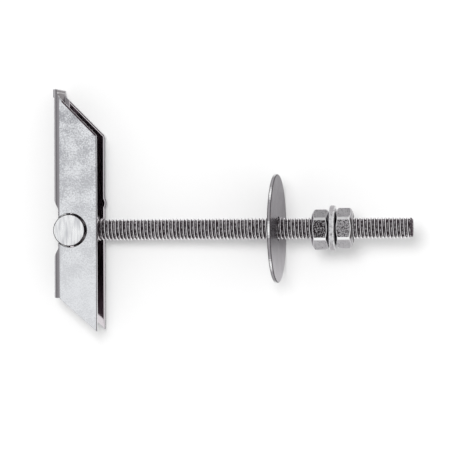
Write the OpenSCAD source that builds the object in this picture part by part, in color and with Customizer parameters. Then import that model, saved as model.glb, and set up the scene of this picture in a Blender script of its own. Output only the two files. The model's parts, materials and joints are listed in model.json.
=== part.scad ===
/* [Stud] */
// Major diameter of the stud's thread
stud_d = 6; // [5:0.5:8]
// Overall length of the stud
stud_length = 99.5; // [90:0.5:160]
// How far the stud's tail passes the pivot axis
stud_tail = 5; // [4.6:0.1:5.6]
// Chamfer at both ends of the stud
stud_chamfer = 0.7; // [0.3:0.1:1.2]

/* [Pivot barrel] */
// Wall of the barrel beside its tapped cross hole
barrel_wall = 1.4; // [1:0.1:2]
// How far each end of the barrel stands out of its flange
barrel_proud = 0.6; // [0.2:0.1:1.5]
// Chamfer round both ends of the barrel
barrel_chamfer = 0.2; // [0.1:0.1:0.6]

/* [Toggle channel] */
// Outer width across the two flanges
channel_w = 14.5; // [13:0.5:20]
// Depth of the flanges, from the web's outer face to their free edge
flange_depth = 12.25; // [10:0.05:16]
// Thickness of the sheet
sheet = 1.2; // [1.2:0.1:1.4]
// Outer radius of the two folds
bend_r = 2.5; // [1.5:0.1:2.8]
// Long arm, from the pivot axis to the end of the web's tab
long_tab = 39; // [37.5:0.5:46]
// Long arm, from the pivot axis to the corner on the free edge
long_edge = 26.2; // [20:0.1:27]
// Short arm, from the pivot axis to the end of the web
short_web = 18.8; // [14:0.1:24]
// Short arm, from the pivot axis to the tip on the free edge
short_edge = 28; // [25:0.5:36]
// How far the short arm's end runs square from the web's outer face before it slants
short_square = 1.7; // [1:0.1:3]
// Slope of the long arm's slanted end
slant = 45; // [38:1:46]
// Depth of the tab that the web makes past the slanted end, inside the sheet
tab_depth = 1.1; // [0.9:0.1:1.1]
// Largest fillet between the tab and the slanted end
tab_fillet = 3.5; // [0.5:0.1:6]
// How far the sheared lip on the tab's end stands out of the web
tab_lip = 0.3; // [0.1:0.1:0.5]
// Length of that lip
tab_lip_length = 2.2; // [1:0.1:3]
// Length of the bump on the far flange's free edge, on the long arm
nib_length = 2.7; // [1.5:0.1:4]
// How far the bump stands out
nib_height = 0.4; // [0.2:0.1:1]
// From the pivot axis to the middle of the bump
nib_at = 7.4; // [6:0.1:15]
// Turn of the loose channel from square at rest, in degrees
channel_turn = -0.35; // [-2:0.05:2]

/* [Notch in the web] */
// Length of the notch on the long arm's side, at the web's outer face
notch_long = 8.2; // [7.4:0.1:10]
// Length of the notch on the short arm's side, at the web's outer face
notch_short = 7.4; // [7.2:0.1:9]
// Length of each of the notch's sloped ends
notch_run = 2.4; // [1:0.1:2.6]
// Depth of the notch from the web's outer face
notch_depth = 1.4; // [1.4:0.1:2]

/* [Large washer] */
// Outer diameter
large_washer_d = 30; // [24:0.5:40]
// Thickness
large_washer_t = 1; // [0.8:0.1:2]
// From the pivot axis to the middle of the washer
large_washer_at = 56.9; // [48:0.1:60]
// How far the loose washer leans on the stud, in degrees
large_washer_lean = 2.5; // [0:0.5:4]
// Broken edge of the rim
large_washer_edge = 0.2; // [0.1:0.05:0.3]

/* [Nuts and flat washer] */
// Width across the flats of both nuts
nut_af = 10; // [9.5:0.1:13]
// Width across the rounded corners of both nuts
nut_corner_d = 11.1; // [10.4:0.1:11.5]
// Thickness of both nuts
nut_h = 4.8; // [4:0.1:6.5]
// From the pivot axis to the inner nut's inner face
inner_nut_at = 66.75; // [62:0.25:75]
// Turn of the inner nut from square, in degrees
inner_nut_turn = 3.5; // [-30:0.5:30]
// How far the inner nut's hexagon sits off the axis of its thread
inner_nut_off = 0.4; // [0:0.1:0.5]
// Turn of the outer nut from square, in degrees
outer_nut_turn = 0.5; // [-30:0.5:30]
// Outer diameter of the flat washer
flat_washer_d = 12.5; // [11.5:0.5:18]
// Thickness of the flat washer
flat_washer_t = 1.6; // [1:0.1:2.5]
// Broken edge of the flat washer's rim
flat_washer_edge = 0.3; // [0.1:0.05:0.45]

/* [Clearances] */
// Radial clearance of the stud in the barrel and in the nuts
thread_clear = 0.05; // [0.02:0.01:0.1]
// Radial clearance of the barrel in the flanges
pivot_clear = 0.35; // [0.3:0.05:0.5]
// How far the flanges' holes sit forward of the barrel, inside that clearance
pivot_shift = 0.2; // [0:0.05:0.25]
// Room between the stud and the web when the channel is folded
fold_clear = 0.35; // [0.2:0.05:0.8]
// Radial clearance of the stud in both washers
washer_clear = 0.3; // [0.2:0.05:0.5]
// Gap that stays between faces that are screwed together
seat_gap = 0.05; // [0.02:0.01:0.1]

/* [Hidden] */
$fn = 72;
// How far a cutting shape runs past what it cuts
over = 1;
// Shortest straight side that the tab keeps above its fillet
tab_side = 0.25;
// Straight steps in the tab's fillet
fillet_steps = 5;
// Angle between neighbouring flats of a nut
hex_step = 60;
// Share of the flats' width that a nut's round end face keeps
nut_face_share = 0.86;
// Slope of the cone that cuts a nut's corners
nut_cone = 30;
// Depth of the countersink at both ends of a nut's bore
nut_sink = 0.4;

stud_r = stud_d / 2;
barrel_r = stud_r + barrel_wall;
barrel_half = channel_w / 2 + barrel_proud;
washer_bore_r = stud_r + washer_clear;
large_washer_r = large_washer_d / 2;

// The web's outer face lies behind the pivot axis, the free edges in front of it
web_x = -(stud_r + fold_clear + sheet);
edge_x = web_x + flange_depth;
tab_x = web_x + tab_depth;

// The stud lies in the bottom of the leaning washer's bore
lean_rise = large_washer_t / 2 * sin(large_washer_lean) + washer_bore_r * (1 - cos(large_washer_lean));
large_washer_rise = washer_clear - seat_gap - lean_rise;

flat_washer_at = inner_nut_at + nut_h + seat_gap;
outer_nut_at = flat_washer_at + flat_washer_t + seat_gap;

// Lowest points of the barrel and of the leaning washer, as [along the stud, across it]
barrel_foot = [-(barrel_r - barrel_chamfer), -barrel_half];
washer_low = [large_washer_edge - large_washer_t / 2, -large_washer_r];
washer_foot = [large_washer_at, large_washer_rise] + turned(washer_low, large_washer_lean);

// The toggle lies on those two points, with the stud's free end up
lie_angle = atan2(barrel_foot[1] - washer_foot[1], washer_foot[0] - barrel_foot[0]);
lift = -turned(barrel_foot, lie_angle)[1];
middle_x = (stud_length / 2 - stud_tail) * cos(lie_angle);
middle_y = (long_tab - short_edge) / 2;

function turned(p, a) = [p[0] * cos(a) - p[1] * sin(a), p[0] * sin(a) + p[1] * cos(a)];

// Lays the toggle down: the stud's axis runs along +X and rises by the lie angle
module lie() {
    translate([-middle_x, -middle_y, lift])
        rotate([0, -lie_angle, 0])
            children();
}

// Turns a shape made along +Z to run along the stud from a given place
module along_stud(at) {
    translate([at, 0, 0])
        rotate([0, 90, 0])
            children();
}

// Turned bar along +Z with both ends chamfered
module chamfered_bar(r, h, c) {
    rotate_extrude()
        polygon([[0, 0], [r - c, 0], [r, c], [r, h - c], [r - c, h], [0, h]]);
}

// Flat ring along +Z with both edges of its rim broken
module ring(r, bore_r, h, c) {
    rotate_extrude()
        polygon([[bore_r, 0], [r - c, 0], [r, c], [r, h - c], [r - c, h], [bore_r, h]]);
}

// Hexagon along +Z with rounded corners, cut by a cone at both ends
module hexagon() {
    corner_r = nut_corner_d / 2;
    face_r = nut_af / 2 * nut_face_share;
    cone_h = (corner_r - face_r) * tan(nut_cone);
    intersection() {
        cylinder(h = nut_h, r = nut_af / 2 / cos(hex_step / 2), $fn = 6);
        rotate_extrude()
            polygon([[0, 0], [face_r, 0], [corner_r, cone_h], [corner_r, nut_h - cone_h],
                     [face_r, nut_h], [0, nut_h]]);
    }
}

// Hex nut along +Z: its hexagon turned and set off the axis, its bore countersunk
module hex_nut(turn, off) {
    bore_r = stud_r + thread_clear;
    difference() {
        translate([0, -off, 0])
            rotate([0, 0, hex_step / 2 - turn])
                hexagon();
        translate([0, 0, -over])
            cylinder(h = nut_h + 2 * over, r = bore_r);
        for (end = [0, 1])
            translate([0, 0, end * nut_h])
                mirror([0, 0, end])
                    cylinder(h = nut_sink, r1 = bore_r + nut_sink, r2 = bore_r);
    }
}

// Outline of a folded section across the flanges: two round folds at the back, open at the front
module fold_outline(back, half, r, front) {
    translate([back + r, -half])
        square([front - back - r, 2 * half]);
    translate([back, r - half])
        square([r, 2 * (half - r)]);
    for (side = [-1, 1])
        translate([back + r, side * (half - r)])
            circle(r = r);
}

module channel_section() {
    difference() {
        fold_outline(web_x, channel_w / 2, bend_r, edge_x);
        fold_outline(web_x + sheet, channel_w / 2 - sheet, bend_r - sheet, edge_x + over);
    }
}

// Height of the long arm's slanted end above the pivot axis
function slant_y(x) = long_edge + (edge_x - x) * tan(slant);

// The fillet between the slanted end and the tab, in short steps
tab_room = max(long_tab - slant_y(tab_x) - tab_side, tab_side);
tab_r = min(tab_fillet, tab_room / tan((90 - slant) / 2));
tab_centre = [tab_x + tab_r, slant_y(tab_x + tab_r) + tab_r / cos(slant)];
tab_step = (90 - slant) / fillet_steps;
tab_arc = [for (i = [fillet_steps:-1:0]) tab_centre - tab_r * [cos(i * tab_step), sin(i * tab_step)]];

// Side outline of the channel: slanted ends, the web's tab and the notch that the stud's tail swings in
module channel_outline() {
    difference() {
        polygon(concat([[web_x, -short_web], [web_x + short_square, -short_web], [edge_x, -short_edge],
                        [edge_x, long_edge]], tab_arc, [[tab_x, long_tab], [web_x, long_tab]]));
        polygon([[web_x - over, notch_long], [web_x, notch_long],
                 [web_x + notch_depth, notch_long - notch_run],
                 [web_x + notch_depth, notch_run - notch_short],
                 [web_x, -notch_short], [web_x - over, -notch_short]]);
    }
}

// Small round bump on the far flange's free edge
module nib() {
    half = nib_length / 2;
    r = (half * half + nib_height * nib_height) / (2 * nib_height);
    translate([edge_x + nib_height - r, nib_at, -channel_w / 2])
        cylinder(h = sheet, r = r);
}

// Lip that shearing left on the outside of the tab's end, between the two folds
module lip() {
    half = channel_w / 2 - bend_r;
    translate([0, 0, -half])
        linear_extrude(height = 2 * half)
            polygon([[web_x + sheet / 2, long_tab - tab_lip_length - tab_lip],
                     [web_x, long_tab - tab_lip_length - tab_lip],
                     [web_x - tab_lip, long_tab - tab_lip_length],
                     [web_x - tab_lip, long_tab], [web_x + sheet / 2, long_tab]]);
}

module toggle_channel() {
    color("#cfd4d8")
        lie() rotate([0, 0, channel_turn]) difference() {
            union() {
                intersection() {
                    translate([0, long_tab + over, 0])
                        rotate([90, 0, 0])
                            linear_extrude(height = long_tab + short_edge + 2 * over)
                                channel_section();
                    translate([0, 0, -channel_w / 2 - over])
                        linear_extrude(height = channel_w + 2 * over)
                            channel_outline();
                }
                nib();
                lip();
            }
            translate([pivot_shift, 0, -channel_w / 2 - over])
                cylinder(h = channel_w + 2 * over, r = barrel_r + pivot_clear);
        }
}

module pivot_barrel() {
    color("#dde0e2")
        lie() difference() {
            translate([0, 0, -barrel_half])
                chamfered_bar(barrel_r, 2 * barrel_half, barrel_chamfer);
            along_stud(-barrel_r - over)
                cylinder(h = 2 * (barrel_r + over), r = stud_r + thread_clear);
        }
}

module threaded_stud() {
    color("#8f8a8c")
        lie() along_stud(-stud_tail)
            chamfered_bar(stud_r, stud_length, stud_chamfer);
}

module large_washer() {
    color("#a3a0a3")
        lie() translate([large_washer_at, 0, large_washer_rise])
            rotate([0, -large_washer_lean, 0])
                along_stud(-large_washer_t / 2)
                    ring(large_washer_r, washer_bore_r, large_washer_t, large_washer_edge);
}

module inner_nut() {
    color("#8c888b")
        lie() along_stud(inner_nut_at)
            hex_nut(inner_nut_turn, inner_nut_off);
}

module flat_washer() {
    color("#c4c4c6")
        lie() along_stud(flat_washer_at)
            ring(flat_washer_d / 2, washer_bore_r, flat_washer_t, flat_washer_edge);
}

module outer_nut() {
    color("#979397")
        lie() along_stud(outer_nut_at)
            hex_nut(outer_nut_turn, 0);
}

toggle_channel();
pivot_barrel();
threaded_stud();
large_washer();
inner_nut();
flat_washer();
outer_nut();
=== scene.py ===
"""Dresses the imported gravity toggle: rounded pieces, a rolled thread, plated finishes and a studio stage."""

import json
import math

import bmesh
import bpy
from bpy.props import FloatProperty, FloatVectorProperty, IntProperty, PointerProperty
from mathutils import Euler, Matrix, Vector


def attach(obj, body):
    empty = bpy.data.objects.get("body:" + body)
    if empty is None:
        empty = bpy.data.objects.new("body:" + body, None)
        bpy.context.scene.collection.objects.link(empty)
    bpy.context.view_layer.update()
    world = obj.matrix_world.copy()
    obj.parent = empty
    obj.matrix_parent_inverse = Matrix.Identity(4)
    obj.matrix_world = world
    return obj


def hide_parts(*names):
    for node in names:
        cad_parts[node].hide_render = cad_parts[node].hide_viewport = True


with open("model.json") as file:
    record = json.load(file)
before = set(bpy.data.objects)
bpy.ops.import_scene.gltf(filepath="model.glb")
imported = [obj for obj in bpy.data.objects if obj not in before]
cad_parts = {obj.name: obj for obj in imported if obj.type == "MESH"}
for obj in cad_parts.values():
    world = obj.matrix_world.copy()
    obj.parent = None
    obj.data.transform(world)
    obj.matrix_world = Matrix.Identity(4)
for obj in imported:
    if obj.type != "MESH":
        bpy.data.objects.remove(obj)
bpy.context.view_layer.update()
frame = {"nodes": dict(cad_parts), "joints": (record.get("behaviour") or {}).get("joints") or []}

bl_info = {
    "name": "Gravity Toggle",
    "version": (1, 0, 0),
    "blender": (4, 5, 0),
    "location": "View3D > Sidebar > Toggle",
    "description": "Builds the looks of a gravity toggle around its packed solids",
    "category": "Object",
}

MM = 0.001
JOINTS = {joint["name"]: joint for joint in frame["joints"]}

# How much of a face's normal lies along an axis, from a face that just leans that way
# to one that looks straight along it.
LEANS, SLANTS, TURNED, LOOKS, STRAIGHT = 0.2, 0.3, 0.5, 0.75, 0.95

# A Mix node's colour sockets share their names with its other sockets, so they go by number.
MIX_SHARE, MIX_FIRST, MIX_SECOND, MIX_RESULT = 0, 6, 7, 2

# Points nearer than this are one point. Edges flatter than one angle are dissolved,
# and edges sharper than the other are rounded.
SAME_POINT = 0.001 * MM
FLAT_ANGLE = math.radians(0.5)
SHARP_ANGLE = math.radians(28)
ROUNDING_STEPS = 3


def stud_space():
    """The stud's own frame: X along the stud, Z along the pivot barrel, origin where the two axes cross."""
    along = Vector(JOINTS["large_washer_slide"]["axis"]).normalized()
    pivot = Vector(JOINTS["channel_swing"]["axis"]).normalized()
    side = pivot.cross(along)
    turn = Matrix((along, side, pivot)).transposed()
    return Matrix.Translation(JOINTS["channel_swing"]["pos_m"]) @ turn.to_4x4()


STUD_SPACE = stud_space()
TO_STUD = STUD_SPACE.inverted()


def stud_reach():
    """The stud's first and last place along its own axis and its radius, from its solid."""
    points = [TO_STUD @ vertex.co for vertex in frame["nodes"]["threaded_stud"].data.vertices]
    places = [point.x for point in points]
    return min(places), max(places), max(math.hypot(point.y, point.z) for point in points)


STUD_START, STUD_END, STUD_RADIUS = stud_reach()


def linear(hex_colour):
    """An sRGB hex value as the linear colour that Blender's sockets take."""
    parts = [int(hex_colour[i:i + 2], 16) / 255 for i in (1, 3, 5)]
    return tuple(c / 12.92 if c <= 0.04045 else ((c + 0.055) / 1.055) ** 2.4 for c in parts)


def length(name, description, default_mm):
    """A length that a user may change, with its default in millimetres."""
    return FloatProperty(name=name, description=description, default=default_mm * MM, min=0, precision=5,
                         unit="LENGTH")


def colour(name, description, hex_colour):
    """A colour that a user may change, with its default as an sRGB hex value."""
    return FloatVectorProperty(name=name, description=description, default=linear(hex_colour), size=3,
                               min=0, max=1, subtype="COLOR")


class ToggleSizes(bpy.types.PropertyGroup):
    """Sizes of what the solids leave out: the thread and the broken edges."""

    thread_pitch: length("Thread pitch", "Distance between neighbouring crests of the stud's thread", 1)
    thread_depth: length("Thread depth", "From the crest of the thread to its root", 0.613)
    stud_chamfer: length("Stud chamfer", "Chamfer at both ends of the stud", 0.7)
    thread_sides: IntProperty(name="Thread sides", description="Facets in one turn of the thread",
                              default=48, min=12, max=96)
    sheet_edge: length("Sheet edge", "Rounding of the flanges' sheared edges", 0.45)
    web_edge: length("Web edge", "Rounding of the edges round the web, its folds and its tab", 0.12)
    sheet: length("Sheet", "Thickness of the folded sheet", 1.2)
    pierced_edge: length("Pierced edge", "Rounding of the edges of the pivot holes", 0.08)
    pierced_reach: length("Pierced reach", "How near the pivot axis the edges of its holes lie", 5.4)
    barrel_edge: length("Barrel edge", "Rounding of the turned barrel's edges", 0.13)
    washer_edge: length("Washer edge", "Rounding of the washers' edges", 0.08)
    nut_edge: length("Nut edge", "Rounding of the nuts' edges", 0.13)
    nut_corner: length("Nut corner", "How far from a nut's axis its rubbed corners begin", 5.45)


class ToggleFinishes(bpy.types.PropertyGroup):
    """Colours of the plated steel on each piece."""

    # Partly wear and partly painted highlight: this colour lights the rounded edges of the nuts and the flat
    # washer, and it makes the painted glints round the large washer's rim and the painted highlight on the
    # nuts' corners.
    worn: colour("Worn edges", "Bright metal where edges are rubbed", "#f6f6f7")
    sheet_light: colour("Sheet, light", "Clean zinc on the folded sheet", "#e5e7ea")
    # This dark colour lies in random patches and in the painted shade towards the long arm.
    sheet_dark: colour("Sheet, dark", "Dull patches on the folded sheet", "#a8a9ae")
    # Painted shade on the outside of the folds.
    sheet_fold_shade: colour("Sheet, folds", "Stretched zinc on the outside of the folds", "#9a979b")
    # Painted shade inside the channel, on the faces that look into it.
    sheet_inside_shade: colour("Sheet, inside", "Greyed zinc inside the channel", "#dcd6da")
    # The cut edges' own darker tone, with painted shade where this colour lies on the web's inside and on the
    # lower flange's free edge.
    sheet_sheared: colour("Sheet, sheared", "Dull steel on the sheared edges", "#767377")
    # Painted shade in the pivot holes, inside the upper flange and along the burrs.
    sheet_painted_shade: colour("Sheet, stain", "Dark stain on burrs, in holes and inside one flange", "#4b4046")
    barrel_light: colour("Barrel, light", "Ridges of the barrel's facing cut", "#f4f5f6")
    barrel_dark: colour("Barrel, dark", "Grooves of the barrel's facing cut", "#cacbcf")
    # Painted shade on the barrel's side and chamfers.
    barrel_side_shade: colour("Barrel, side", "Dull side and chamfers of the barrel", "#3d393c")
    # Painted highlight on the thread's crests, and painted shade on its flanks and roots.
    crest: colour("Thread crest", "Burnished crests of the thread", "#fbf9fb")
    root: colour("Thread root", "Stained flanks and roots of the thread", "#4c4147")
    large_washer_light: colour("Large washer, light", "Clean zinc on the large washer", "#dcd7dd")
    # This dark colour lies in faint patches and in the painted shade on the washer's upper side.
    large_washer_dark: colour("Large washer, dark", "Dull side of the large washer", "#69616b")
    rim: colour("Washer rim", "Sheared rim of the large washer", "#9b989c")
    # Painted shade on the edges beside the large washer's rim.
    rim_edge: colour("Washer rim, edges", "Dark burr line beside the large washer's rim", "#575457")
    nut_light: colour("Nut, light", "Clean zinc on the nuts", "#aeacaf")
    nut_dark: colour("Nut, dark", "Scale in the pits of a nut's flat", "#221b1f")
    # Painted shade on the nuts' end faces and on the chamfers that face up.
    nut_end_shade: colour("Nut, ends", "Unpolished end faces and chamfers of the nuts", "#4a4447")
    flat_washer_light: colour("Flat washer, light", "Clean zinc on the flat washer", "#cfcfd1")
    flat_washer_dark: colour("Flat washer, dark", "Dull specks on the flat washer", "#7f7c7f")
    # Painted shade on the sides of the flat washer's rim that turn towards Y.
    flat_washer_side_shade: colour("Flat washer, sides", "Grey sides of the flat washer's rim", "#a5a2a5")


class ToggleStage(bpy.types.PropertyGroup):
    """Light, floor and camera."""

    floor: colour("Floor", "Colour of the pale floor", "#cdcdcd")
    floor_far: colour("Floor, far", "Colour of the floor past the left side of the picture", "#7a7a7a")
    floor_glow: FloatProperty(name="Floor glow", default=0.065,
                              description="Light that the white background adds to the floor")
    overhead: FloatProperty(name="Overhead", default=0.95,
                            description="Brightness above the toggle and along Y")
    ends: FloatProperty(name="Ends", default=0.75,
                        description="Brightness to the left and the right of the toggle")
    key_power: FloatProperty(name="Key light", default=6.15, subtype="POWER",
                             description="Power of the soft key light")
    key_size: length("Key size", "Side of the square key light", 240)
    key_distance: length("Key distance", "From the toggle to the key light", 900)
    lens: FloatProperty(name="Lens", default=219.6,
                        description="Focal length in millimetres for a 36 mm sensor")


def add(tree, kind, sockets=None, **settings):
    """Adds one node: its settings first, then a value, a link or a list of links for each named socket.

    Returns the node's outputs.
    """
    node = tree.nodes.new(kind)
    for name, value in settings.items():
        setattr(node, name, value)
    for name, value in (sockets or {}).items():
        links = value if isinstance(value, list) else [value]
        for link in links:
            if isinstance(link, bpy.types.NodeSocket):
                tree.links.new(link, node.inputs[name])
            else:
                node.inputs[name].default_value = link
    return node.outputs


def per_metre(size_mm):
    """A pattern's repeats to the metre, for features this many millimetres across."""
    return 1 / (size_mm * MM)


def bare(name):
    """A new material, its empty tree, and the Object coordinates in that tree."""
    material = bpy.data.materials.new(name)
    material.use_nodes = True
    tree = material.node_tree
    tree.nodes.clear()
    return material, tree, add(tree, "ShaderNodeTexCoord")["Object"]


def plate(tree, colours, pattern, roughness, relief, coats, flat=1.0):
    """Common end of every finish: a metal of two colours that a pattern mixes, under coats, with its relief.

    relief is a height and its depth in millimetres. Each coat is a colour that a mesh attribute lays on.
    flat is how much of the light the plating keeps where it is seen at a flat angle.
    """
    light, dark = colours
    tint = add(tree, "ShaderNodeMix", {MIX_SHARE: pattern, MIX_FIRST: (*light, 1), MIX_SECOND: (*dark, 1)},
               data_type="RGBA")[MIX_RESULT]
    for attribute, coat in coats.items():
        laid = add(tree, "ShaderNodeAttribute", attribute_name=attribute)["Fac"]
        tint = add(tree, "ShaderNodeMix", {MIX_SHARE: laid, MIX_FIRST: tint, MIX_SECOND: (*coat, 1)},
                   data_type="RGBA")[MIX_RESULT]
    height, depth_mm = relief
    bump = add(tree, "ShaderNodeBump", {"Strength": 1.0, "Distance": depth_mm * MM, "Height": height})[0]
    shader = add(tree, "ShaderNodeBsdfPrincipled", {
        "Base Color": tint, "Metallic": 1.0, "Roughness": roughness, "Normal": bump,
        "Specular Tint": (flat, flat, flat, 1)})[0]
    add(tree, "ShaderNodeOutputMaterial", {"Surface": shader})


def folded_sheet(finish):
    """Zinc-plated cold-rolled sheet. The eye sees a pale cool grey with fine grit, and painted shade towards
    the long arm.

    The zinc's own grain is too fine to show, so the grit is drawn 0.4 mm across.
    """
    material, tree, where = bare("folded_zinc_plated_sheet")
    patches = add(tree, "ShaderNodeTexNoise", {"Vector": where, "Scale": per_metre(5), "Detail": 4.0})[0]
    grit = add(tree, "ShaderNodeTexNoise", {"Vector": where, "Scale": per_metre(0.4)})[0]
    mottle = add(tree, "ShaderNodeMath", {0: grit, 1: 0.9, 2: patches}, operation="MULTIPLY_ADD")[0]
    mottle = add(tree, "ShaderNodeMapRange", {"Value": mottle, "From Min": 0.78, "From Max": 1.12})[0]
    along = add(tree, "ShaderNodeSeparateXYZ", {0: where})["Y"]
    # Painted shade: the sheet darkens, and its mottling grows, from the lit end to the shaded end on the long
    # arm.
    lit_end, shaded_end = -22 * MM, 24 * MM
    painted_shade_ramp = add(tree, "ShaderNodeMapRange", {"Value": along, "From Min": lit_end, "From Max": shaded_end,
                                               "To Min": 0.25})[0]
    pattern = add(tree, "ShaderNodeMath", {0: mottle, 1: painted_shade_ramp}, operation="MULTIPLY")[0]
    roughness = add(tree, "ShaderNodeMapRange", {"Value": pattern, "To Min": 0.14, "To Max": 0.2})[0]
    for attribute, rise in (("inside", -0.08), ("stain", 0.22)):
        laid = add(tree, "ShaderNodeAttribute", attribute_name=attribute)["Fac"]
        roughness = add(tree, "ShaderNodeMath", {0: laid, 1: rise, 2: roughness},
                        operation="MULTIPLY_ADD")[0]
    drawn_out = add(tree, "ShaderNodeMapping", {"Vector": where, "Scale": (1, 0.12, 1)})[0]
    rolling = add(tree, "ShaderNodeTexNoise", {"Vector": drawn_out, "Scale": per_metre(0.5)})[0]
    dents = add(tree, "ShaderNodeTexNoise", {"Vector": where, "Scale": per_metre(1.2), "Detail": 3.0})[0]
    height = add(tree, "ShaderNodeMath", {0: rolling, 1: 0.4, 2: dents}, operation="MULTIPLY_ADD")[0]
    plate(tree, (finish.sheet_light, finish.sheet_dark), pattern, roughness, (height, 0.004),
          {"fold": finish.sheet_fold_shade, "inside": finish.sheet_inside_shade, "sheared": finish.sheet_sheared,
           "stain": finish.sheet_painted_shade})
    return material


def turned_barrel(finish):
    """Zinc-plated free-cutting bar, faced on a lathe. The eye sees bright fine lines across its round ends.

    The tool's own lines are too fine to show, so they are drawn 0.6 mm apart.
    """
    material, tree, where = bare("faced_zinc_plated_bar")
    drawn_out = add(tree, "ShaderNodeMapping", {"Vector": where, "Scale": (1, 0.14, 1)})[0]
    lines = add(tree, "ShaderNodeTexNoise", {"Vector": drawn_out, "Scale": per_metre(0.6), "Detail": 3.0})[0]
    pattern = add(tree, "ShaderNodeMapRange", {"Value": lines, "From Min": 0.35, "From Max": 0.7})[0]
    roughness = add(tree, "ShaderNodeMapRange", {"Value": pattern, "To Min": 0.25, "To Max": 0.35})[0]
    plate(tree, (finish.barrel_light, finish.barrel_dark), pattern, roughness, (lines, 0.008),
          {"side": finish.barrel_side_shade})
    return material


def rolled_stud(finish):
    """Zinc-plated rolled thread. The eye sees a painted highlight on the crests, painted shade on the flanks
    and a little less of it in the roots.
    """
    material, tree, where = bare("rolled_zinc_plated_thread")
    groove = add(tree, "ShaderNodeAttribute", attribute_name="groove")["Fac"]
    # Painted highlight and shade: random noise and the depth in the groove mix the crests' painted highlight
    # into the painted shade of the flanks and roots.
    stain = add(tree, "ShaderNodeTexNoise", {"Vector": where, "Scale": per_metre(0.8), "Detail": 3.0})[0]
    flank = add(tree, "ShaderNodeMath", {0: groove, 1: 0.68}, operation="PINGPONG")[0]
    depth = add(tree, "ShaderNodeMath", {0: stain, 1: 0.8, 2: flank}, operation="MULTIPLY_ADD")[0]
    pattern = add(tree, "ShaderNodeMapRange", {"Value": depth, "From Min": 0.52, "From Max": 0.86})[0]
    roughness = add(tree, "ShaderNodeMapRange", {"Value": pattern, "To Min": 0.24, "To Max": 0.5})[0]
    scuffs = add(tree, "ShaderNodeTexNoise", {"Vector": where, "Scale": per_metre(0.4), "Detail": 3.0})[0]
    plate(tree, (finish.crest, finish.root), pattern, roughness, (scuffs, 0.05), {})
    return material


def large_washer_steel(finish):
    """Zinc-plated stamped sheet. The eye sees a satin grey with faint patches, painted paler on one side and
    painted shade on the other, with painted glints round its rim.
    """
    material, tree, where = bare("stamped_zinc_plated_sheet")
    patches = add(tree, "ShaderNodeTexNoise", {"Vector": where, "Scale": per_metre(4), "Detail": 3.0})[0]
    along = add(tree, "ShaderNodeSeparateXYZ", {0: where})["Y"]
    # Painted shade: paler on the lit side towards -Y, darker on the shaded side.
    lit_side, shaded_side = -19 * MM, -7 * MM
    painted_shade_ramp = add(tree, "ShaderNodeMapRange", {"Value": along, "From Min": lit_side, "From Max": shaded_side,
                                               "To Min": -0.25, "To Max": 0.25})[0]
    dulled = add(tree, "ShaderNodeMath", {0: patches, 1: 0.3, 2: painted_shade_ramp}, operation="MULTIPLY_ADD")[0]
    pattern = add(tree, "ShaderNodeMapRange", {"Value": dulled, "From Min": -0.1, "From Max": 0.53})[0]
    roughness = add(tree, "ShaderNodeMapRange", {"Value": pattern, "To Min": 0.18, "To Max": 0.24})[0]
    dents = add(tree, "ShaderNodeTexNoise", {"Vector": where, "Scale": per_metre(0.6), "Detail": 3.0})[0]
    plate(tree, (finish.large_washer_light, finish.large_washer_dark), pattern, roughness, (dents, 0.003),
          {"rim": finish.rim, "rim_edge": finish.rim_edge, "rubbed": finish.worn}, flat=0.62)
    return material


def nut_steel(finish):
    """Zinc-plated cold-formed steel. The eye sees bright edges, partly wear and partly painted highlight,
    round satin flats, the one facing up darker and pitted, and painted shade on the flats that face +Y and on
    the ends.
    """
    material, tree, where = bare("cold_formed_zinc_plated_nut")
    # The flat that faces up gets more dark pits.
    scale = add(tree, "ShaderNodeAttribute", attribute_name="scale")["Fac"]
    grain = add(tree, "ShaderNodeTexNoise", {"Vector": where, "Scale": per_metre(0.32)})[0]
    pits = add(tree, "ShaderNodeMath", {0: scale, 1: 0.3, 2: grain}, operation="MULTIPLY_ADD")[0]
    pits = add(tree, "ShaderNodeMapRange", {"Value": pits, "From Min": 0.56, "From Max": 0.76})[0]
    clouds = add(tree, "ShaderNodeTexNoise", {"Vector": where, "Scale": per_metre(1.2), "Detail": 3.0})[0]
    clouds = add(tree, "ShaderNodeMapRange", {"Value": clouds, "From Min": 0.35, "From Max": 0.7,
                                              "To Max": 0.15})[0]
    # Painted shade on the flats that face +Y, with random clouds added.
    dull = add(tree, "ShaderNodeAttribute", attribute_name="dull")["Fac"]
    dull = add(tree, "ShaderNodeMath", {0: clouds, 1: dull}, operation="ADD")[0]
    pattern = add(tree, "ShaderNodeMath", {0: pits, 1: dull}, operation="ADD")[0]
    roughness = add(tree, "ShaderNodeMapRange", {"Value": pattern, "To Min": 0.3, "To Max": 0.4})[0]
    dents = add(tree, "ShaderNodeTexNoise", {"Vector": where, "Scale": per_metre(0.6)})[0]
    # Coats: painted shade on the ends, taken off the chamfers that don't face up; edges partly wear and partly
    # painted highlight; corners with a painted highlight.
    plate(tree, (finish.nut_light, finish.nut_dark), pattern, roughness, (dents, 0.015),
          {"end": finish.nut_end_shade, "worn_edge": finish.worn, "beyond": finish.nut_light,
           "corner": finish.worn})
    return material


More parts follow.
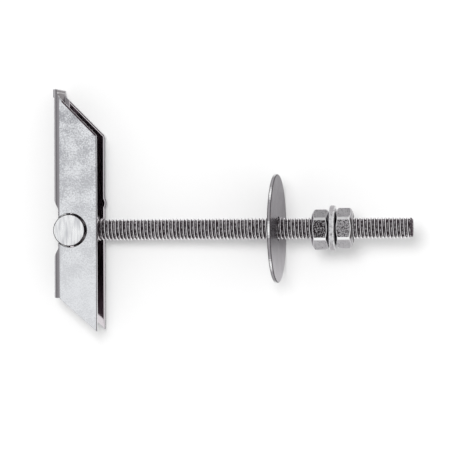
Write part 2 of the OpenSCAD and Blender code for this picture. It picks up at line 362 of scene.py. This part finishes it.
def flat_washer_steel(finish):
    """Zinc-plated washer, tumbled in a barrel. The eye sees a bright rim with darker specks, painted shade on
    the rim's sides towards Y, and edges that are partly wear and partly painted highlight.
    """
    material, tree, where = bare("tumbled_zinc_plated_washer")
    specks = add(tree, "ShaderNodeTexNoise", {"Vector": where, "Scale": per_metre(0.8), "Detail": 3.0})[0]
    pattern = add(tree, "ShaderNodeMapRange", {"Value": specks, "From Min": 0.45, "From Max": 0.68})[0]
    roughness = add(tree, "ShaderNodeMapRange", {"Value": pattern, "To Min": 0.26, "To Max": 0.44})[0]
    dents = add(tree, "ShaderNodeTexNoise", {"Vector": where, "Scale": per_metre(0.7), "Detail": 3.0})[0]
    plate(tree, (finish.flat_washer_light, finish.flat_washer_dark), pattern, roughness, (dents, 0.03),
          {"worn_edge": finish.worn, "side": finish.flat_washer_side_shade})
    return material


def show(name, mesh, material, node, body):
    """Puts a finished mesh into the scene as a piece that stands for a CAD node.

    material is None for a mesh that has its own already.
    """
    piece = bpy.data.objects.new(name, mesh)
    bpy.context.scene.collection.objects.link(piece)
    if material:
        mesh.materials.clear()
        mesh.materials.append(material)
    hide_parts(node)
    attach(piece, body)


def plain_mesh(carrier):
    """The carrier's evaluated mesh as plain data. The carrier and its modifiers are deleted."""
    depsgraph = bpy.context.evaluated_depsgraph_get()
    mesh = bpy.data.meshes.new_from_object(carrier.evaluated_get(depsgraph), preserve_all_data_layers=True,
                                           depsgraph=depsgraph)
    bpy.data.objects.remove(carrier)
    return mesh


def off_pivot(edge):
    """How far the farther end of an edge lies from the pivot axis."""
    return max((TO_STUD @ vertex.co).to_2d().length for vertex in edge.verts)


def behind_pivot(edge):
    """How far the rear end of an edge lies behind the pivot axis."""
    return max(-(TO_STUD @ vertex.co).x for vertex in edge.verts)


def put_in_order(elements):
    """Sorts edges or faces by their points, because a bevel's own order can change from run to run."""
    by_points = sorted(elements, key=lambda element: sorted(vertex.index for vertex in element.verts))
    ranks = {element: rank for rank, element in enumerate(by_points)}
    elements.sort(key=ranks.get)


def rounded(node, *passes):
    """A CAD node's mesh, merged, with its sharp edges rounded and its shading evened out.

    Each pass is a radius, a test of the edges that get it, and whether it shrinks where edges are short.
    """
    bm = bmesh.new()
    bm.from_mesh(frame["nodes"][node].data)
    # Faces made by a rounding. On the nuts and the flat washer they take a colour that is partly wear and
    # partly painted highlight.
    worn_edge = bm.faces.layers.float.new("worn_edge")
    bmesh.ops.remove_doubles(bm, verts=bm.verts, dist=SAME_POINT)
    bmesh.ops.dissolve_limit(bm, angle_limit=FLAT_ANGLE, verts=bm.verts, edges=bm.edges)
    for radius, test, shrinks in passes:
        sharp = [edge for edge in bm.edges if edge.calc_face_angle(0) > SHARP_ANGLE and test(edge)
                 and not any(face[worn_edge] for face in edge.link_faces)]
        rounds = bmesh.ops.bevel(bm, geom=sharp, offset=radius, offset_type="OFFSET", profile=0.5,
                                 segments=ROUNDING_STEPS, affect="EDGES", clamp_overlap=shrinks)
        for face in rounds["faces"]:
            face[worn_edge] = 1.0
    for face in bm.faces:
        face.smooth = True
    bm.verts.index_update()
    put_in_order(bm.edges)
    put_in_order(bm.faces)
    mesh = bpy.data.meshes.new(node + "_rounded")
    bm.to_mesh(mesh)
    bm.free()
    carrier = bpy.data.objects.new(node + "_rounding", mesh)
    bpy.context.scene.collection.objects.link(carrier)
    carrier.modifiers.new("Even shading", "WEIGHTED_NORMAL").keep_sharp = False
    return plain_mesh(carrier)


def mark(mesh, name, share):
    """Stores how much of a coat each face gets, from its middle and its normal in the stud's frame."""
    turn = TO_STUD.to_3x3()
    values = [share(TO_STUD @ face.center, turn @ face.normal) for face in mesh.polygons]
    mesh.attributes.new(name, "FLOAT", "FACE").data.foreach_set("value", values)


def thread_tree():
    """A rolled thread with chamfered ends along +X: a grid wound into a helix and closed by two round faces.

    The grid's X is one turn and its Y climbs the thread. A point's distance from the nearest crest sets its
    radius, and the ends cut the radius down to the chamfer. The flats on crests and roots are shares of
    the pitch.
    """
    tree = bpy.data.node_groups.new("Rolled thread", "GeometryNodeTree")
    for name, kind in (("Length", "Float"), ("Pitch", "Float"), ("Radius", "Float"), ("Depth", "Float"),
                       ("Chamfer", "Float"), ("Sides", "Int"), ("Steel", "Material")):
        tree.interface.new_socket(name, in_out="INPUT", socket_type="NodeSocket" + kind)
    tree.interface.new_socket("Thread", in_out="OUTPUT", socket_type="NodeSocketGeometry")
    given = add(tree, "NodeGroupInput")
    rows_per_pitch = 8.0
    crest_flat, root_flat = 1 / 8, 1 / 4
    pitches = add(tree, "ShaderNodeMath", {0: given["Length"], 1: given["Pitch"]}, operation="DIVIDE")[0]
    rows = add(tree, "ShaderNodeMath", {0: pitches, 1: rows_per_pitch, 2: rows_per_pitch + 1},
               operation="MULTIPLY_ADD")[0]
    rows = add(tree, "ShaderNodeMath", {0: rows}, operation="ROUND")[0]
    columns = add(tree, "ShaderNodeMath", {0: given["Sides"], 1: 1.0}, operation="ADD")[0]
    grid = add(tree, "GeometryNodeMeshGrid", {"Size X": 1.0, "Size Y": 1.0, "Vertices X": columns,
                                              "Vertices Y": rows})["Mesh"]
    place = add(tree, "ShaderNodeSeparateXYZ", {0: add(tree, "GeometryNodeInputPosition")[0]})
    turn = add(tree, "ShaderNodeMath", {0: place["X"], 1: 0.5}, operation="ADD")[0]
    climb = add(tree, "ShaderNodeMapRange", {"Value": place["Y"], "From Min": -0.5, "From Max": 0.5,
                                             "To Min": -1.0, "To Max": pitches})[0]
    reach = add(tree, "ShaderNodeMath", {0: climb, 1: turn}, operation="ADD")[0]
    reach = add(tree, "ShaderNodeMath", {0: reach, 1: given["Pitch"]}, operation="MULTIPLY")[0]
    along = add(tree, "ShaderNodeClamp", {"Value": reach, "Min": 0.0, "Max": given["Length"]})[0]
    off_crest = add(tree, "ShaderNodeMath", {0: climb, 1: 0.5 / rows_per_pitch}, operation="ADD")[0]
    off_crest = add(tree, "ShaderNodeMath", {0: off_crest, 1: 0.5}, operation="PINGPONG")[0]
    root_r = add(tree, "ShaderNodeMath", {0: given["Radius"], 1: given["Depth"]}, operation="SUBTRACT")[0]
    thread_r = add(tree, "ShaderNodeMapRange", {"Value": off_crest, "From Min": crest_flat / 2,
                                                "From Max": 0.5 - root_flat / 2,
                                                "To Min": given["Radius"], "To Max": root_r})[0]
    to_end = add(tree, "ShaderNodeMath", {0: given["Length"], 1: along}, operation="SUBTRACT")[0]
    to_end = add(tree, "ShaderNodeMath", {0: along, 1: to_end}, operation="MINIMUM")[0]
    end_r = add(tree, "ShaderNodeMath", {0: given["Radius"], 1: given["Chamfer"]}, operation="SUBTRACT")[0]
    cone_r = add(tree, "ShaderNodeMath", {0: end_r, 1: to_end}, operation="ADD")[0]
    radius = add(tree, "ShaderNodeMath", {0: thread_r, 1: cone_r}, operation="MINIMUM")[0]
    angle = add(tree, "ShaderNodeMath", {0: turn, 1: math.tau}, operation="MULTIPLY")[0]
    wound = add(tree, "ShaderNodeCombineXYZ", {"X": along, "Y": radius})[0]
    wound = add(tree, "ShaderNodeVectorRotate", {"Vector": wound, "Angle": angle}, rotation_type="X_AXIS")[0]
    groove = add(tree, "ShaderNodeMapRange", {"Value": radius, "From Min": given["Radius"],
                                              "From Max": root_r})[0]
    marked = add(tree, "GeometryNodeStoreNamedAttribute",
                 {"Geometry": grid, "Name": "groove", "Value": groove}, data_type="FLOAT", domain="POINT")[0]
    body = add(tree, "GeometryNodeSetPosition", {"Geometry": marked, "Position": wound})[0]
    disc = add(tree, "GeometryNodeMeshCircle", {"Vertices": given["Sides"], "Radius": end_r},
               fill_type="NGON")[0]
    ends = []
    for far in (0.0, given["Length"]):
        flat = add(tree, "ShaderNodeCombineXYZ", {"X": far, "Y": place["X"], "Z": place["Y"]})[0]
        ends.append(add(tree, "GeometryNodeSetPosition", {"Geometry": disc, "Position": flat})[0])
    whole = add(tree, "GeometryNodeJoinGeometry", {0: [body, *ends]})[0]
    merged = add(tree, "GeometryNodeMergeByDistance", {"Geometry": whole, "Distance": 2 * SAME_POINT})[0]
    real = add(tree, "GeometryNodeRealizeInstances", {"Geometry": merged})[0]
    steel = add(tree, "GeometryNodeSetMaterial", {"Geometry": real, "Material": given["Steel"]})[0]
    add(tree, "NodeGroupOutput", {"Thread": steel})
    return tree


class TOGGLE_OT_fold_channel(bpy.types.Operator):
    """Make the folded channel with its sheared edges rounded"""

    bl_idname = "toggle.fold_channel"
    bl_label = "Fold the channel"

    # How far behind the pivot axis the edges round the web begin and the burrs end.
    FOLDS_BEHIND = 2.0 * MM
    BURRS_BEHIND = 4.2 * MM
    FOLD_FADE = 0.12
    # Shares of that colour: painted shade on the web's inside, the cut edge's own tone with painted shade on
    # the lower flange's free edge, and the cut edges' own tone elsewhere.
    WEB_DULL, LOWER_EDGE_DULL, EDGE_DULL, SHORT_END_DULL = 0.9, 0.8, 0.2, 0.4
    # The share of the sheet's thickness, from its outside, beyond which the inner faces lie.
    INNER_LAYER = 0.75

    def fold(self, place, normal):
        """How far a face on the outside of a fold has turned from its flange, which sets its share of painted
        shade.
        """
        return min(1, max(0, (-normal.x - LEANS) / self.FOLD_FADE)) if abs(normal.y) < LEANS else 0

    def inside(self, place, normal, depth):
        """1 for a face that looks into the channel, which gets painted shade."""
        inward = Vector((1 if place.x < 0 else 0, 0, -math.copysign(1, place.z)))
        return float(abs(place.z) < depth and normal.dot(inward) > LOOKS)

    def sheared(self, place, normal):
        """How much of the cut edges' colour a face gets: painted shade on the web's inside, their own tone
        with painted shade on the lower flange's free edge, and their own tone on the other cut faces.
        """
        if normal.x > LEANS and abs(normal.y) < TURNED:
            if place.x < 0:
                return self.WEB_DULL
            return self.LOWER_EDGE_DULL if place.z < 0 and normal.x > TURNED else self.EDGE_DULL
        return self.SHORT_END_DULL if normal.y < -SLANTS else 0

    def stain(self, place, normal, reach, depth):
        """1 for painted shade in the pivot holes, inside the upper flange and along the burrs."""
        pierced = place.to_2d().length < reach and abs(normal.z) < TURNED
        return float(pierced or self.burr(place, normal, reach)
                     or place.z > 0 and self.inside(place, normal, depth))

    def burr(self, place, normal, reach):
        """Whether a face is on the burr of a long slanted end, or of the upper flange's free edge."""
        if normal.z < LEANS or place.x < -self.BURRS_BEHIND or place.to_2d().length < reach:
            return False
        return normal.y > SLANTS or place.z > 0 and LEANS < normal.x < TURNED

    def execute(self, context):
        scene = context.scene
        sizes = scene.toggle_sizes
        reach = sizes.pierced_reach
        mesh = rounded("toggle_channel",
                       (sizes.pierced_edge, lambda edge: off_pivot(edge) < reach, True),
                       (sizes.web_edge, lambda edge: behind_pivot(edge) > self.FOLDS_BEHIND, False),
                       (sizes.sheet_edge, lambda edge: off_pivot(edge) > reach, False))
        half = max((TO_STUD @ vertex.co).z for vertex in mesh.vertices)
        depth = half - self.INNER_LAYER * sizes.sheet
        mark(mesh, "fold", self.fold)
        mark(mesh, "inside", lambda place, normal: self.inside(place, normal, depth))
        mark(mesh, "sheared", self.sheared)
        mark(mesh, "stain", lambda place, normal: self.stain(place, normal, reach, depth))
        show("channel", mesh, folded_sheet(scene.toggle_finishes), "toggle_channel", "toggle")
        return {"FINISHED"}


class TOGGLE_OT_turn_barrel(bpy.types.Operator):
    """Make the turned cross barrel that the channel swings on"""

    bl_idname = "toggle.turn_barrel"
    bl_label = "Turn the barrel"

    END_FACE = 0.97

    def execute(self, context):
        scene = context.scene
        mesh = rounded("pivot_barrel", (scene.toggle_sizes.barrel_edge, bool, True))
        # Painted shade on the barrel's side and chamfers.
        mark(mesh, "side", lambda place, normal: float(abs(normal.z) < self.END_FACE))
        show("barrel", mesh, turned_barrel(scene.toggle_finishes), "pivot_barrel", "stud")
        return {"FINISHED"}


class TOGGLE_OT_roll_stud(bpy.types.Operator):
    """Make the stud with its rolled thread"""

    bl_idname = "toggle.roll_stud"
    bl_label = "Roll the stud"

    CREASE_ANGLE = math.radians(40)

    def execute(self, context):
        scene = context.scene
        sizes = scene.toggle_sizes
        tree = thread_tree()
        values = {"Length": STUD_END - STUD_START, "Pitch": sizes.thread_pitch, "Radius": STUD_RADIUS,
                  "Depth": sizes.thread_depth, "Chamfer": sizes.stud_chamfer, "Sides": sizes.thread_sides,
                  "Steel": rolled_stud(scene.toggle_finishes)}
        carrier = bpy.data.objects.new("stud_rolling", bpy.data.meshes.new("stud_blank"))
        scene.collection.objects.link(carrier)
        modifier = carrier.modifiers.new("Rolled thread", "NODES")
        modifier.node_group = tree
        for item in tree.interface.items_tree:
            if item.in_out == "INPUT":
                modifier[item.identifier] = values[item.name]
        mesh = plain_mesh(carrier)
        if not mesh.vertices:
            raise RuntimeError("the thread's tree gave no mesh")
        bm = bmesh.new()
        bm.from_mesh(mesh)
        bmesh.ops.recalc_face_normals(bm, faces=bm.faces)
        for edge in bm.edges:
            edge.smooth = edge.calc_face_angle(0) < self.CREASE_ANGLE
        for face in bm.faces:
            face.smooth = True
        bm.to_mesh(mesh)
        bm.free()
        mesh.transform(STUD_SPACE @ Matrix.Translation((STUD_START, 0, 0)))
        show("stud", mesh, None, "threaded_stud", "stud")
        return {"FINISHED"}


class TOGGLE_OT_stamp_large_washer(bpy.types.Operator):
    """Make the wide washer that bears on the board"""

    bl_idname = "toggle.stamp_large_washer"
    bl_label = "Stamp the large washer"

    # How many painted glints go round the rim.
    GLINT_PLACES = 9

    def rubbed(self, place, normal):
        """Painted glints at places spread round the rim."""
        turn = math.atan2(place.y, place.z)
        return max(0, math.cos(self.GLINT_PLACES * turn)) if abs(normal.x) < SLANTS else 0

    def execute(self, context):
        scene = context.scene
        mesh = rounded("large_washer", (scene.toggle_sizes.washer_edge, bool, True))
        mark(mesh, "rim", lambda place, normal: float(abs(normal.x) < SLANTS))
        # Painted shade on the edges beside the rim.
        mark(mesh, "rim_edge", lambda place, normal: float(SLANTS < abs(normal.x) < STRAIGHT))
        mark(mesh, "rubbed", self.rubbed)
        show("wide_washer", mesh, large_washer_steel(scene.toggle_finishes), "large_washer", "large_washer")
        return {"FINISHED"}


class TOGGLE_OT_form_nuts(bpy.types.Operator):
    """Make both hex nuts"""

    bl_idname = "toggle.form_nuts"
    bl_label = "Form the nuts"

    # How dark and pitted the flat that faces up gets on each nut.
    SCALE = {"inner_nut": 0.75, "outer_nut": 0.42}
    # Shares of painted shade on the flats that face +Y.
    DULL = {"inner_nut": 0.32, "outer_nut": 0.2}
    # Shares of the painted highlight on the corners beyond the stud, and of the plain colour that takes the
    # painted shade off the chamfers.
    FAR_CORNER, PLAIN = 0.5, 0.75
    # Chamfers lean at least this far along the stud,
    # and the upper ones are within this cosine of straight up.
    END_LEANS, UPWARD = 0.1, 0.85

    def corner(self, place, far):
        """Corners get a painted highlight that is partly wear, and those beyond the stud only half of it."""
        return 0 if place.yz.length < far else 1 if place.y < 0 else self.FAR_CORNER

    def beyond(self, place, normal):
        """Chamfers and edges round the flats that don't face up are plain, which takes the painted shade of
        the ends off them, and their end faces aren't.
        """
        chamfer = self.END_LEANS < abs(normal.x) < STRAIGHT
        return self.PLAIN if chamfer and place.z < self.UPWARD * place.yz.length else 0

    def middle(self, mesh):
        """The middle of a nut's hexagon in the stud's frame. It may sit off the stud's axis."""
        points = [TO_STUD @ vertex.co for vertex in mesh.vertices]
        return sum((Vector(map(pick, zip(*points))) / 2 for pick in (min, max)), Vector())

    def execute(self, context):
        scene = context.scene
        sizes = scene.toggle_sizes
        steel = nut_steel(scene.toggle_finishes)
        for node, upper in self.SCALE.items():
            mesh = rounded(node, (sizes.nut_edge, bool, False))
            middle = self.middle(mesh)
            # Painted highlight on the corners, fullest on the near side of the stud.
            mark(mesh, "corner", lambda place, normal: self.corner(place - middle, sizes.nut_corner))
            mark(mesh, "scale", lambda place, normal: upper if normal.z > STRAIGHT else 0)
            mark(mesh, "dull", lambda place, normal: self.DULL[node] if normal.y > TURNED else 0)
            mark(mesh, "end", lambda place, normal: float(abs(normal.x) > SLANTS))
            mark(mesh, "beyond", lambda place, normal: self.beyond(place - middle, normal))
            show(node.replace("_nut", "_hex"), mesh, steel, node, node)
        return {"FINISHED"}


class TOGGLE_OT_stamp_flat_washer(bpy.types.Operator):
    """Make the flat washer between the nuts"""

    bl_idname = "toggle.stamp_flat_washer"
    bl_label = "Stamp the flat washer"

    SIDES_FROM, SIDES_FADE = 0.45, 0.4

    def side(self, place, normal):
        """How far a face of the rim has turned towards Y, which sets its share of painted shade."""
        return min(1, max(0, (abs(normal.y) - self.SIDES_FROM) / self.SIDES_FADE))

    def execute(self, context):
        scene = context.scene
        mesh = rounded("flat_washer", (scene.toggle_sizes.washer_edge, bool, True))
        mark(mesh, "side", self.side)
        show("small_washer", mesh, flat_washer_steel(scene.toggle_finishes), "flat_washer", "flat_washer")
        return {"FINISHED"}


class TOGGLE_OT_lay_stage(bpy.types.Operator):
    """Lay the floor and set up the studio light and the camera"""

    bl_idname = "toggle.lay_stage"
    bl_label = "Lay the stage"

    # The camera's place and its sensor are in millimetres, and its turn is in degrees.
    CAMERA_PLACE = (8.116, 7.016, 772.773)
    CAMERA_TURN = (-0.8703, 0.7753, -0.4865)
    SENSOR_WIDTH = 36
    KEY_FROM = (-0.12, 0.16, 1.0)
    FLOOR_HALF = 3000 * MM
    FAR_FLOOR_X, NEAR_FLOOR_X = -110 * MM, -70 * MM
    # How much of a direction lies along X where the light starts to dim and where it has dimmed.
    DIM_FROM, DIM_TO = 0.6, 1.0

    def lay_floor(self, scene, stage):
        """A plain pale floor that the toggle lies on. It greys just past the picture's left side."""
        half = self.FLOOR_HALF
        mesh = bpy.data.meshes.new("floor")
        corners = [(-half, -half, 0), (half, -half, 0), (half, half, 0), (-half, half, 0)]
        mesh.from_pydata(corners, [], [range(len(corners))])
        paper, tree, where = bare("matt_paper")
        ray = add(tree, "ShaderNodeLightPath")
        seen = add(tree, "ShaderNodeMath", {0: ray["Is Camera Ray"], 1: ray["Is Glossy Ray"]},
                   operation="MAXIMUM")[0]
        seen = add(tree, "ShaderNodeMath", {0: seen, 1: ray["Is Transmission Ray"]}, operation="MAXIMUM")[0]
        glow = add(tree, "ShaderNodeMath", {0: seen, 1: stage.floor_glow}, operation="MULTIPLY")[0]
        white = add(tree, "ShaderNodeEmission", {"Color": (1, 1, 1, 1), "Strength": glow})[0]
        across = add(tree, "ShaderNodeSeparateXYZ", {0: where})["X"]
        near = add(tree, "ShaderNodeMapRange", {"Value": across, "From Min": self.FAR_FLOOR_X,
                                                "From Max": self.NEAR_FLOOR_X})[0]
        tone = add(tree, "ShaderNodeMix", {MIX_SHARE: near, MIX_FIRST: (*stage.floor_far, 1),
                                           MIX_SECOND: (*stage.floor, 1)}, data_type="RGBA")[MIX_RESULT]
        matt = add(tree, "ShaderNodeBsdfDiffuse", {"Color": tone})[0]
        both = add(tree, "ShaderNodeAddShader", {0: matt, 1: white})[0]
        add(tree, "ShaderNodeOutputMaterial", {"Surface": both})
        mesh.materials.append(paper)
        floor = bpy.data.objects.new("floor", mesh)
        scene.collection.objects.link(floor)

    def light_studio(self, scene, stage):
        """A soft key light from the upper left, in a light tunnel along Y that is dimmer past its sides.

        The metal mirrors the tunnel and not the lamp.
        """
        key = bpy.data.lights.new("key", "AREA")
        key.energy = stage.key_power
        key.size = stage.key_size
        lamp = bpy.data.objects.new("key", key)
        lamp.visible_glossy = False
        scene.collection.objects.link(lamp)
        direction = Vector(self.KEY_FROM).normalized()
        lamp.location = direction * stage.key_distance
        lamp.rotation_euler = direction.to_track_quat("Z", "Y").to_euler()
        world = bpy.data.worlds.new("studio")
        world.use_nodes = True
        scene.world = world
        tree = world.node_tree
        tree.nodes.clear()
        way = add(tree, "ShaderNodeSeparateXYZ", {0: add(tree, "ShaderNodeTexCoord")["Generated"]})
        lengthwise = add(tree, "ShaderNodeMath", {0: way["X"]}, operation="ABSOLUTE")[0]
        level = add(tree, "ShaderNodeMapRange",
                    {"Value": lengthwise, "From Min": self.DIM_FROM, "From Max": self.DIM_TO,
                     "To Min": stage.overhead, "To Max": stage.ends},
                    interpolation_type="SMOOTHSTEP")[0]
        sky = add(tree, "ShaderNodeBackground", {"Color": (1, 1, 1, 1), "Strength": level})[0]
        add(tree, "ShaderNodeOutputWorld", {"Surface": sky})

    def place_camera(self, scene, stage):
        """The camera looks almost straight down on the lying toggle."""
        camera = bpy.data.cameras.new("camera")
        camera.lens = stage.lens
        camera.sensor_width = self.SENSOR_WIDTH
        eye = bpy.data.objects.new("camera", camera)
        eye.location = Vector(self.CAMERA_PLACE) * MM
        eye.rotation_euler = Euler([math.radians(angle) for angle in self.CAMERA_TURN])
        scene.collection.objects.link(eye)
        scene.camera = eye

    def execute(self, context):
        scene = context.scene
        stage = scene.toggle_stage
        self.lay_floor(scene, stage)
        self.light_studio(scene, stage)
        self.place_camera(scene, stage)
        scene.view_settings.view_transform = "Standard"
        return {"FINISHED"}


OPERATORS = (TOGGLE_OT_fold_channel, TOGGLE_OT_turn_barrel, TOGGLE_OT_roll_stud,
             TOGGLE_OT_stamp_large_washer, TOGGLE_OT_form_nuts, TOGGLE_OT_stamp_flat_washer,
             TOGGLE_OT_lay_stage)
GROUPS = {"toggle_sizes": ToggleSizes, "toggle_finishes": ToggleFinishes, "toggle_stage": ToggleStage}


class TOGGLE_PT_panel(bpy.types.Panel):
    """Sizes, finishes and steps of the toggle"""

    bl_label = "Gravity toggle"
    bl_space_type = "VIEW_3D"
    bl_region_type = "UI"
    bl_category = "Toggle"

    def draw(self, context):
        for name, group in GROUPS.items():
            box = self.layout.box()
            for prop in group.__annotations__:
                box.prop(getattr(context.scene, name), prop)
        for operator in OPERATORS:
            self.layout.operator(operator.bl_idname)


CLASSES = (*GROUPS.values(), *OPERATORS, TOGGLE_PT_panel)


def register():
    for cls in CLASSES:
        bpy.utils.register_class(cls)
    for name, group in GROUPS.items():
        setattr(bpy.types.Scene, name, PointerProperty(type=group))


def unregister():
    for name in GROUPS:
        delattr(bpy.types.Scene, name)
    for cls in reversed(CLASSES):
        bpy.utils.unregister_class(cls)


def main():
    register()
    bpy.ops.toggle.fold_channel()
    bpy.ops.toggle.turn_barrel()
    bpy.ops.toggle.roll_stud()
    bpy.ops.toggle.stamp_large_washer()
    bpy.ops.toggle.form_nuts()
    bpy.ops.toggle.stamp_flat_washer()
    bpy.ops.toggle.lay_stage()


if __name__ == "__main__":
    main()
